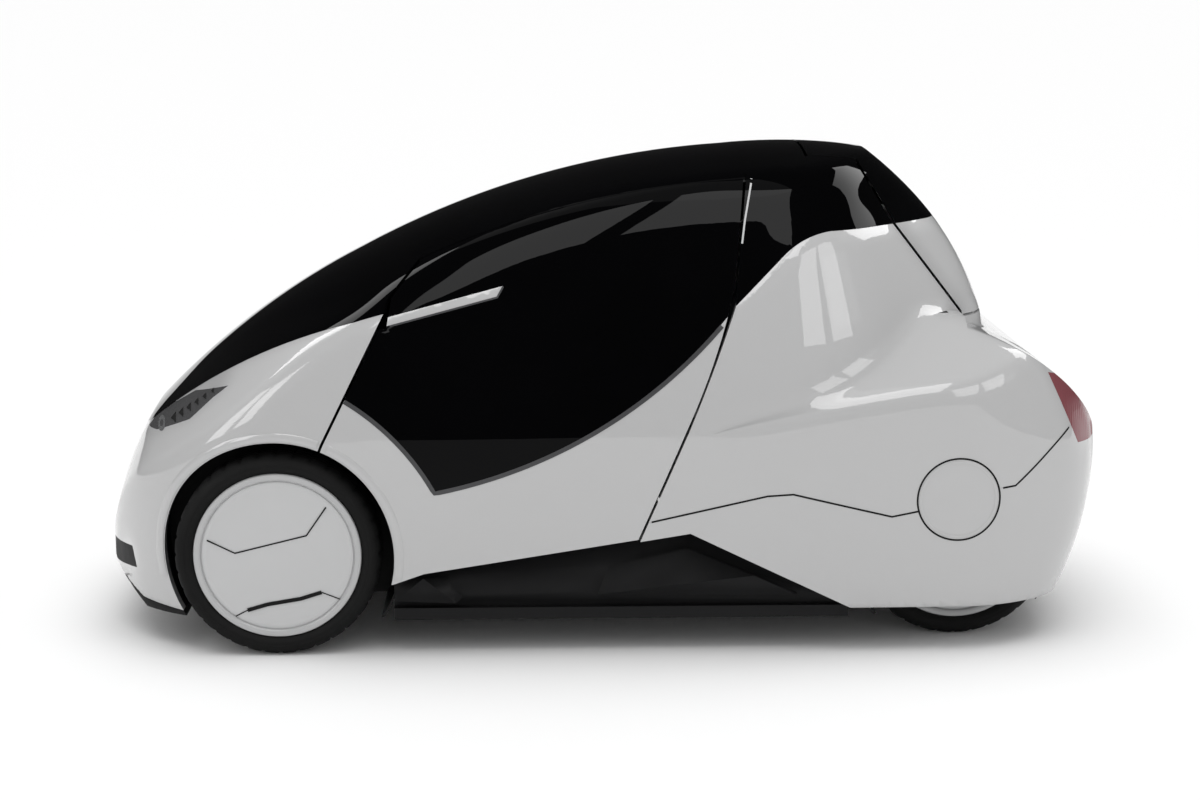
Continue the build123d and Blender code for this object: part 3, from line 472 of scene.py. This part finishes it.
def ribbon(name, tree, line, section, look, body, side, closed=False):
    """Strip of a section that follows a side-view line over the body's outside."""
    bm = bmesh.new()
    rows = []
    count = len(line)
    for i, (x, z) in enumerate(line):
        x2, z2 = line[(i + 1) % count] if closed else line[min(i + 1, count - 1)]
        x1, z1 = line[i - 1] if closed else line[max(i - 1, 0)]
        run = Vector((x2 - x1, 0, z2 - z1)).normalized()
        across = Vector((-run.z, 0, run.x))
        row = []
        for offset, lift in section:
            place = on_skin(tree, Vector((x, 0, z)) + across * offset, side, lift)
            if place:
                row.append(bm.verts.new(place))
        rows.append(row if len(row) == len(section) else None)
    for one, two in zip(rows, rows[1:] + ([rows[0]] if closed else [])):
        if one and two:
            for k in range(len(section) - 1):
                face = bm.faces.new((one[k], two[k], two[k + 1], one[k + 1]))
                face.smooth = True
    bmesh.ops.recalc_face_normals(bm, faces=bm.faces)
    bm.normal_update()
    lean = sum((f.normal.y * f.calc_area() for f in bm.faces), 0.0)
    if lean * side < 0:
        bmesh.ops.reverse_faces(bm, faces=bm.faces)
    piece(name, bm, look, body)


def facet_row_tree(settings):
    """Node tree that repeats a flat triangle in a row, each smaller than the one before."""
    group = bpy.data.node_groups.new("facet_row", "GeometryNodeTree")
    for name, kind, value in (("Count", "NodeSocketInt", settings.facets),
                              ("Start", "NodeSocketVector", LAMP_START),
                              ("Step", "NodeSocketVector", LAMP_STEP),
                              ("Radius", "NodeSocketFloat", LAMP_FACET_R),
                              ("Shrink", "NodeSocketFloat", LAMP_SHRINK)):
        socket = group.interface.new_socket(name, in_out="INPUT", socket_type=kind)
        socket.default_value = value
    group.interface.new_socket("Geometry", in_out="OUTPUT", socket_type="NodeSocketGeometry")
    nodes, links = group.nodes, group.links
    sizes = nodes.new("NodeGroupInput")
    line = nodes.new("GeometryNodeMeshLine")
    links.new(sizes.outputs["Count"], line.inputs["Count"])
    links.new(sizes.outputs["Start"], line.inputs["Start Location"])
    links.new(sizes.outputs["Step"], line.inputs["Offset"])
    facet = nodes.new("GeometryNodeMeshCircle")
    facet.fill_type = "NGON"
    facet.inputs["Vertices"].default_value = 3
    links.new(sizes.outputs["Radius"], facet.inputs["Radius"])
    order = nodes.new("GeometryNodeInputIndex")
    scale = nodes.new("ShaderNodeMath")
    scale.operation = "MULTIPLY_ADD"
    links.new(order.outputs["Index"], scale.inputs[0])
    links.new(sizes.outputs["Shrink"], scale.inputs[1])
    scale.inputs[2].default_value = 1.0
    spread = nodes.new("GeometryNodeInstanceOnPoints")
    spread.inputs["Rotation"].default_value = (math.pi / 2, 0.35, 0)
    links.new(line.outputs["Mesh"], spread.inputs["Points"])
    links.new(facet.outputs["Mesh"], spread.inputs["Instance"])
    links.new(scale.outputs["Value"], spread.inputs["Scale"])
    real = nodes.new("GeometryNodeRealizeInstances")
    links.new(spread.outputs["Instances"], real.inputs["Geometry"])
    look = nodes.new("GeometryNodeSetMaterial")
    look.inputs["Material"].default_value = made_finish("seam_shadow")
    links.new(real.outputs["Geometry"], look.inputs["Geometry"])
    out = nodes.new("NodeGroupOutput")
    links.new(look.outputs["Geometry"], out.inputs["Geometry"])
    return group


def evaluated_mesh(obj):
    """New mesh of an object with its modifiers applied."""
    return bpy.data.meshes.new_from_object(obj.evaluated_get(bpy.context.evaluated_depsgraph_get()))


def grown(group):
    """Bmesh of what a node tree makes."""
    holder = bpy.data.objects.new("holder", bpy.data.meshes.new("holder"))
    bpy.context.scene.collection.objects.link(holder)
    holder.modifiers.new("grow", "NODES").node_group = group
    mesh = evaluated_mesh(holder)
    bpy.data.objects.remove(holder)
    bm = bmesh.new()
    bm.from_mesh(mesh)
    return bm


def seam_lines(tree, settings, side, tag):
    """Dark lines along the seams of the rear side, and the rim of the round cover."""
    groove = flat(settings.seam, SEAM_LIFT)
    cap_ring = ring(CAP[0], CAP[1], CAP[2] + CAP_SEAM, 96)
    ribbon(f"skirt_seam_{tag}", tree, resample(SKIRT_SEAM), groove, "seam_shadow", "car", side)
    ribbon(f"tail_seam_{tag}", tree, resample(TAIL_SEAM), groove, "seam_shadow", "car", side)
    ribbon(f"cap_groove_{tag}", tree, cap_ring, groove, "seam_shadow", "car", side, closed=True)
    ribbon(f"cap_rim_{tag}", tree, cap_ring, CAP_RIM, "white_paint", "car", side, closed=True)


def door_lines(tree, side, tag, door):
    """Trim round the door's glass, a dark strip of painted shadow under its blade, and a line down its rear
    edge.
    """
    glass_line = arc_points(*GLASS_FRONT, 40)[2:] + arc_points(*GLASS_REAR, 90)[1:]
    edge = flat(*SHADOW_AND_LINE_STRIP)
    ribbon(f"glass_trim_{tag}", tree, glass_line, flat(*GLASS_TRIM), "dark_trim_and_shadow", door, side)
    # Dark strip along the blade's lower edge: painted shadow of the blade's thickness
    ribbon(f"blade_shadow_strip_{tag}", tree, resample(BLADE_SHADOW_LINE), edge, "dark_trim_and_shadow", door, side)
    ribbon(f"door_rear_line_{tag}", tree, resample(DOOR_REAR), edge, "satin_grey", door, side)


def arch_lips(tree, side, tag, door):
    """Raised lip round the front wheel, in one part on the body and one on the door."""
    for body, angles in (("car", ARCH_CAR), (door, ARCH_DOOR)):
        arch = sweep(FRONT_AXLE[0], TYRE_R, ARCH_R, *angles, 60)
        ribbon(f"arch_lip_{body}_{tag}", tree, arch, ARCH_LIP, "white_paint", body, side)


def lamp_details(tree, group, side, tag):
    """Round eye and row of dark facets in the headlamp."""
    eye = ring(*LAMP_EYE, 24)
    ribbon(f"lamp_eye_{tag}", tree, eye, flat(*EYE_TRIM), "lamp_bright", "car", side, closed=True)
    facets = grown(group)
    for vert in facets.verts:
        vert.co = on_skin(tree, vert.co, side, FACET_LIFT) or vert.co
    facets.normal_update()
    bmesh.ops.reverse_faces(facets, faces=[f for f in facets.faces if f.normal.y * side < 0])
    piece(f"lamp_facets_{tag}", facets, "seam_shadow", "car")


def turned(profile, turns):
    """Bmesh of a profile of (radius, y) points turned about the Y axis, and its rings of vertices."""
    bm = bmesh.new()
    rings = []
    for radius, y in profile:
        angles = [math.tau * i / turns for i in range(turns)]
        rings.append([bm.verts.new((radius * math.cos(a), y, radius * math.sin(a))) for a in angles])
    for one, two in zip(rings, rings[1:]):
        for i in range(turns):
            face = bm.faces.new((one[i], one[(i + 1) % turns], two[(i + 1) % turns], two[i]))
            face.smooth = True
    return bm, rings


def groove_at(y, depth):
    """Profile points of one groove round the tyre."""
    floor = TYRE_R - depth
    return [(TYRE_R, y + 0.005), (floor, y + 0.003), (floor, y - 0.003), (TYRE_R, y - 0.005)]


def tyre_bmesh(settings):
    """Tyre with rounded shoulders, sidewall ribs and cross grooves in the tread."""
    half = TYRE_W / 2
    outside = [(RIM_R, half - 0.014), (RIM_R + 0.004, half - 0.009), (RIM_R + 0.012, half - 0.004),
               (RIM_R + 0.02, half - 0.001), (RIM_R + 0.022, half - 0.002), (RIM_R + 0.024, half - 0.0005),
               (0.258, half - 0.001), (0.266, half - 0.005), (0.273, half - 0.0115), (0.2785, half - 0.021),
               (0.2815, half - 0.033), (TYRE_R, half - 0.036)] + groove_at(0.026, settings.tread)
    profile = outside + groove_at(0.0, settings.tread) + [(r, -y) for r, y in reversed(outside)]
    turns = settings.tyre_turns
    bm, rings = turned(profile, turns)
    for points, (radius, _) in zip(rings, profile):
        if radius > SHOULDER_R:
            for vert in points[::GROOVE_EVERY]:
                scale = (radius - settings.tread) / radius
                vert.co.x *= scale
                vert.co.z *= scale
    first, last = rings[0], rings[-1]
    for i in range(turns):
        bm.faces.new((first[i], last[i], last[(i + 1) % turns], first[(i + 1) % turns]))
    bmesh.ops.recalc_face_normals(bm, faces=bm.faces)
    return bm


def rim_bmesh(settings):
    """Bright ring, flat cover, barrel and hub as one turned form."""
    inside = 0.014 - TYRE_W / 2
    profile = [(0.0201, 0.038), (0.046, 0.038), (0.046, COVER_OUT - 0.012), (0.214, COVER_OUT - 0.012),
               (0.2165, 0.0), (0.2165, inside), (0.2286, inside), (0.2286, COVER_OUT + 0.003),
               (0.2265, COVER_OUT + 0.006), (0.2215, COVER_OUT + 0.007), (0.2135, COVER_OUT + 0.0055),
               (0.2105, COVER_OUT + 0.003), (0.209, COVER_OUT - 0.003), (0.2065, COVER_OUT - 0.003),
               (0.2055, COVER_OUT), (0.203, COVER_OUT + 0.0008), (0.192, COVER_OUT + 0.002),
               (0.188, COVER_OUT + 0.0005), (0.12, COVER_OUT + 0.0015), (0.06, COVER_OUT + 0.002),
               (0.0002, COVER_OUT + 0.002)]
    bm, _ = turned(profile, settings.turns)
    bmesh.ops.remove_doubles(bm, verts=bm.verts, dist=1e-5)
    bmesh.ops.recalc_face_normals(bm, faces=bm.faces)
    return bm


def place_wheel(bm, axle, side):
    """Move a wheel-centred bmesh to its axle, mirrored on the right."""
    x, y = axle
    for vert in bm.verts:
        vert.co = Vector((vert.co.x + x, side * (vert.co.y + y), vert.co.z + TYRE_R))
    if side < 0:
        bmesh.ops.reverse_faces(bm, faces=bm.faces)


def cover_line(name, points, width, axle, side, body):
    """Thin dark strip along a line of (x, z) points on a wheel's cover."""
    bm = bmesh.new()
    rows = []
    for i, (x, z) in enumerate(points):
        x2, z2 = points[min(i + 1, len(points) - 1)]
        x1, z1 = points[max(i - 1, 0)]
        run = Vector((x2 - x1, 0, z2 - z1)).normalized()
        across = Vector((-run.z, 0, run.x)) * width / 2
        middle = Vector((x, COVER_LINE_Y, z))
        rows.append((bm.verts.new(middle - across), bm.verts.new(middle + across)))
    for one, two in zip(rows, rows[1:]):
        bm.faces.new((one[0], two[0], two[1], one[1]))
    bmesh.ops.recalc_face_normals(bm, faces=bm.faces)
    bm.normal_update()
    if sum(f.normal.y for f in bm.faces) < 0:
        bmesh.ops.reverse_faces(bm, faces=bm.faces)
    place_wheel(bm, axle, side)
    piece(name, bm, "seam_shadow", body)


def wheel_pieces(settings, tag, axle, side):
    """Tyre, covered wheel and the lines on its cover."""
    body = f"roll_{tag}"
    bm = tyre_bmesh(settings)
    place_wheel(bm, axle, side)
    piece(f"tyre_{tag}_tread", bm, "tyre_rubber", body, (f"tyre_{tag}",))
    bm = rim_bmesh(settings)
    place_wheel(bm, axle, side)
    rim = piece(f"wheel_{tag}_cover", bm, "satin_grey", body, (f"wheel_{tag}",))
    rim.data.set_sharp_from_angle(angle=math.radians(40))
    rim.data.materials.append(made_finish("bright_ring"))
    for polygon in rim.data.polygons:
        x, z = polygon.center.x - axle[0], polygon.center.z - TYRE_R
        if math.hypot(x, z) > BRIGHT_RING_R and side * polygon.center.y > axle[1]:
            polygon.material_index = 1
    for name, width, points in COVER_LINES:
        cover_line(f"wheel_{tag}_{name}", points, width, axle, side, body)


def bevelled(node, width, segments=3):
    """Black plastic copy of a CAD node with rounded edges."""
    bm = node_bmesh(node)
    bmesh.ops.dissolve_limit(bm, angle_limit=math.radians(2), verts=bm.verts, edges=bm.edges)
    sharp = [e for e in bm.edges if len(e.link_faces) == 2 and e.calc_face_angle() > math.radians(35)]
    bmesh.ops.bevel(bm, geom=sharp, offset=width, segments=segments, affect="EDGES", profile=0.5)
    bm.normal_update()
    for face in bm.faces:
        face.smooth = True
    obj = piece(f"{node}_finish", bm, "black_plastic", "car", (node,))
    obj.data.set_sharp_from_angle(angle=math.radians(32))


def seat_pad(node, settings):
    """Seat blown up from its solid by a cloth simulation, no point moving further than the set swelling."""
    scene = bpy.context.scene
    seat = bpy.data.objects.new(f"{node}_start", bpy.data.meshes.new(f"{node}_start"))
    bm = node_bmesh(node)
    bm.to_mesh(seat.data)
    bm.free()
    scene.collection.objects.link(seat)
    remesh = seat.modifiers.new("remesh", "REMESH")
    remesh.mode = "VOXEL"
    remesh.voxel_size = SEAT_VOXEL
    shrink = seat.modifiers.new("shrink", "DISPLACE")
    shrink.mid_level = 0.0
    shrink.strength = SEAT_SHRINK
    seat.modifiers.new("rounding", "SMOOTH").iterations = SEAT_SMOOTHING
    start = evaluated_mesh(seat)
    seat.modifiers.clear()
    seat.data = start
    final = start
    cloth = seat.modifiers.new("cloth", "CLOTH")
    cloth.settings.use_pressure = True
    cloth.settings.uniform_pressure_force = SEAT_PRESSURE
    cloth.settings.effector_weights.gravity = 0.0
    for step in range(1, SEAT_FRAMES + 1):
        scene.frame_set(step)
    final = evaluated_mesh(seat)
    bm = bmesh.new()
    bm.from_mesh(final)
    for vert, before in zip(bm.verts, start.vertices):
        move = vert.co - before.co
        if move.length > settings.swell:
            vert.co = before.co + move.normalized() * settings.swell
    for face in bm.faces:
        face.smooth = True
    scene.frame_set(1)
    bpy.data.objects.remove(seat)
    pad = piece(f"{node}_pad", bm, "seat_fabric", "car", (node,))
    finer = pad.modifiers.new("finer", "SUBSURF")
    finer.levels = 1
    finer.render_levels = 1


def studio_floor(scene):
    """Wide white floor."""
    bm = bmesh.new()
    bmesh.ops.create_circle(bm, cap_ends=True, radius=FLOOR_R, segments=64)
    mesh = bpy.data.meshes.new("studio_floor")
    bm.to_mesh(mesh)
    bm.free()
    finish("floor_white", (0.93, 0.93, 0.93), 0.9, specular=0.05)
    mesh.materials.append(made_finish("floor_white"))
    floor = bpy.data.objects.new("studio_floor", mesh)
    scene.collection.objects.link(floor)


def studio_world(scene):
    """White surroundings: full to the camera, weaker as light and nearly dark in reflections."""
    world = bpy.data.worlds.new("studio")
    scene.world = world
    world.use_nodes = True
    nodes, links = world.node_tree.nodes, world.node_tree.links
    skies = [nodes["Background"], nodes.new("ShaderNodeBackground"), nodes.new("ShaderNodeBackground")]
    for sky, strength in zip(skies, (SKY_DIFFUSE, SKY_GLOSSY, 1.0)):
        sky.inputs["Color"].default_value = (1, 1, 1, 1)
        sky.inputs["Strength"].default_value = strength
    path = nodes.new("ShaderNodeLightPath")
    gloss = nodes.new("ShaderNodeMixShader")
    links.new(path.outputs["Is Glossy Ray"], gloss.inputs["Fac"])
    links.new(skies[0].outputs["Background"], gloss.inputs[1])
    links.new(skies[1].outputs["Background"], gloss.inputs[2])
    seen = nodes.new("ShaderNodeMixShader")
    links.new(path.outputs["Is Camera Ray"], seen.inputs["Fac"])
    links.new(gloss.outputs["Shader"], seen.inputs[1])
    links.new(skies[2].outputs["Background"], seen.inputs[2])
    links.new(seen.outputs["Shader"], nodes["World Output"].inputs["Surface"])


def soft_light(scene, name, place, aim, size, power):
    """Rectangular light that faces a point."""
    data = bpy.data.lights.new(name, "AREA")
    data.shape = "RECTANGLE"
    data.size, data.size_y = size
    data.energy = power
    lamp = bpy.data.objects.new(name, data)
    lamp.location = place
    lamp.rotation_euler = (Vector(aim) - Vector(place)).to_track_quat("-Z", "Y").to_euler()
    scene.collection.objects.link(lamp)
    return lamp


def studio_lights(scene):
    """Soft lights, a wide ceiling, and windows that show only in reflections."""
    soft_light(scene, "top_soft", (0.3, 0.2, 4.2), (0, 0, 0.4), (4.5, 1.2), 10)
    soft_light(scene, "key_soft", (4.2, 4.0, 3.2), (0.6, 0, 0.6), (2.2, 1.2), 5)
    soft_light(scene, "rear_soft", (-4.5, 3.0, 2.6), (-0.8, 0, 0.7), (2.0, 1.0), 3)
    data = bpy.data.lights.new("ceiling", "SUN")
    data.energy = 1.25
    data.angle = math.radians(60)
    ceiling = bpy.data.objects.new("ceiling", data)
    ceiling.visible_glossy = False
    scene.collection.objects.link(ceiling)
    for name, place, aim, size, glow in (
            ("window_front", (0.83, 2.75, 4.15), (0.83, 0, 0.2), (1.55, 2.4), 5.0),
            ("window_rear", (-0.83, 2.75, 4.15), (-0.83, 0, 0.2), (1.35, 2.4), 5.0),
            ("window_nose", (3.4, 3.4, 2.4), (1.0, 0.6, 0.65), (1.2, 2.2), 5.0),
            ("window_fender", (4.35, 2.1, 2.4), (1.0, 0.6, 0.65), (1.2, 2.2), 5.0),
            ("window_quarter", (-2.4, 3.7, 2.6), (-0.7, 0.6, 0.8), (1.1, 1.8), 3.2),
            ("window_tail", (-3.4, 2.8, 2.6), (-0.7, 0.6, 0.8), (1.1, 1.8), 3.2),
            ("window_screen", (2.9, -1.2, 3.8), (0.6, 0.45, 0.98), (1.6, 1.6), 5.0),
            ("window_canopy", (-3.4, -1.1, 3.7), (-0.65, 0.4, 1.2), (2.4, 1.6), 5.0)):
        window = soft_light(scene, name, place, aim, size, glow * math.pi * size[0] * size[1])
        window.visible_diffuse = False


def studio_camera(scene):
    """Camera with the photograph's view of the car."""
    data = bpy.data.cameras.new("photo_camera")
    data.lens = CAMERA_LENS
    data.sensor_width = CAMERA_SENSOR
    data.clip_end = 400
    camera = bpy.data.objects.new("photo_camera", data)
    camera.location = CAMERA_PLACE
    camera.rotation_euler = Vector(CAMERA_LOOK).to_track_quat("-Z", "Y").to_euler()
    scene.collection.objects.link(camera)
    scene.camera = camera


class CITYCAR_OT_panels(bpy.types.Operator):
    """Dress the painted panels, glass and lamps with fine smooth meshes."""

    bl_idname = "citycar.panels"
    bl_label = "Panels"

    def execute(self, context):
        dress_panels(context.scene.citycar)
        return {"FINISHED"}


class CITYCAR_OT_trim(bpy.types.Operator):
    """Add seam lines, glass trim, lamp details and the finish of the black lower parts."""

    bl_idname = "citycar.trim"
    bl_label = "Trim"

    def execute(self, context):
        settings = context.scene.citycar
        tree = skin_tree()
        group = facet_row_tree(settings)
        for side, tag, door in ((1, "left", "door_l"), (-1, "right", "door_r")):
            seam_lines(tree, settings, side, tag)
            door_lines(tree, side, tag, door)
            arch_lips(tree, side, tag, door)
            lamp_details(tree, group, side, tag)
        for node in ("sill_left", "sill_right"):
            sill = piece(f"{node}_finish", node_bmesh(node), "black_plastic", "car", (node,))
            sill.data.set_sharp_from_angle(angle=math.radians(30))
        bevelled("front_lip", 0.003)
        return {"FINISHED"}


class CITYCAR_OT_wheels(bpy.types.Operator):
    """Add treaded tyres and covered wheels."""

    bl_idname = "citycar.wheels"
    bl_label = "Wheels"

    def execute(self, context):
        for tag, axle, side in WHEELS:
            wheel_pieces(context.scene.citycar, tag, axle, side)
        return {"FINISHED"}


class CITYCAR_OT_cabin(bpy.types.Operator):
    """Finish the seats, dashboard, axles and floor."""

    bl_idname = "citycar.cabin"
    bl_label = "Cabin"

    def execute(self, context):
        for node in ("front_seat", "rear_seat"):
            seat_pad(node, context.scene.citycar)
        bevelled("dashboard", 0.025, 4)
        for node, look in BARE_NODES.items():
            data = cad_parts[node].data
            data.materials.clear()
            data.materials.append(made_finish(look))
        return {"FINISHED"}


class CITYCAR_OT_stage(bpy.types.Operator):
    """Build the white floor, soft lights and the camera."""

    bl_idname = "citycar.stage"
    bl_label = "Stage"

    def execute(self, context):
        scene = context.scene
        scene.view_settings.view_transform = "Standard"
        studio_floor(scene)
        studio_world(scene)
        studio_lights(scene)
        studio_camera(scene)
        return {"FINISHED"}


class CITYCAR_PT_panel(bpy.types.Panel):
    """Settings and steps in the sidebar."""

    bl_label = "City car"
    bl_idname = "CITYCAR_PT_panel"
    bl_space_type = "VIEW_3D"
    bl_region_type = "UI"
    bl_category = "City car"

    def draw(self, context):
        settings = context.scene.citycar
        for name in ("paint", "edge", "reach", "seam", "tread", "turns", "tyre_turns", "facets", "swell"):
            self.layout.prop(settings, name)
        for operator in OPERATORS:
            self.layout.operator(operator.bl_idname)


OPERATORS = (CITYCAR_OT_panels, CITYCAR_OT_trim, CITYCAR_OT_wheels, CITYCAR_OT_cabin, CITYCAR_OT_stage)


def register():
    """Add the settings, operators and panel to Blender."""
    bpy.utils.register_class(CityCarSettings)
    for operator in OPERATORS:
        bpy.utils.register_class(operator)
    bpy.utils.register_class(CITYCAR_PT_panel)
    bpy.types.Scene.citycar = PointerProperty(type=CityCarSettings)


def unregister():
    """Take the settings, operators and panel out of Blender."""
    del bpy.types.Scene.citycar
    bpy.utils.unregister_class(CITYCAR_PT_panel)
    for operator in reversed(OPERATORS):
        bpy.utils.unregister_class(operator)
    bpy.utils.unregister_class(CityCarSettings)


def main():
    """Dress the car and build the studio."""
    register()
    make_finishes(bpy.context.scene.citycar)
    bpy.ops.citycar.panels()
    bpy.ops.citycar.trim()
    bpy.ops.citycar.wheels()
    bpy.ops.citycar.cabin()
    bpy.ops.citycar.stage()


if __name__ == "__main__":
    main()
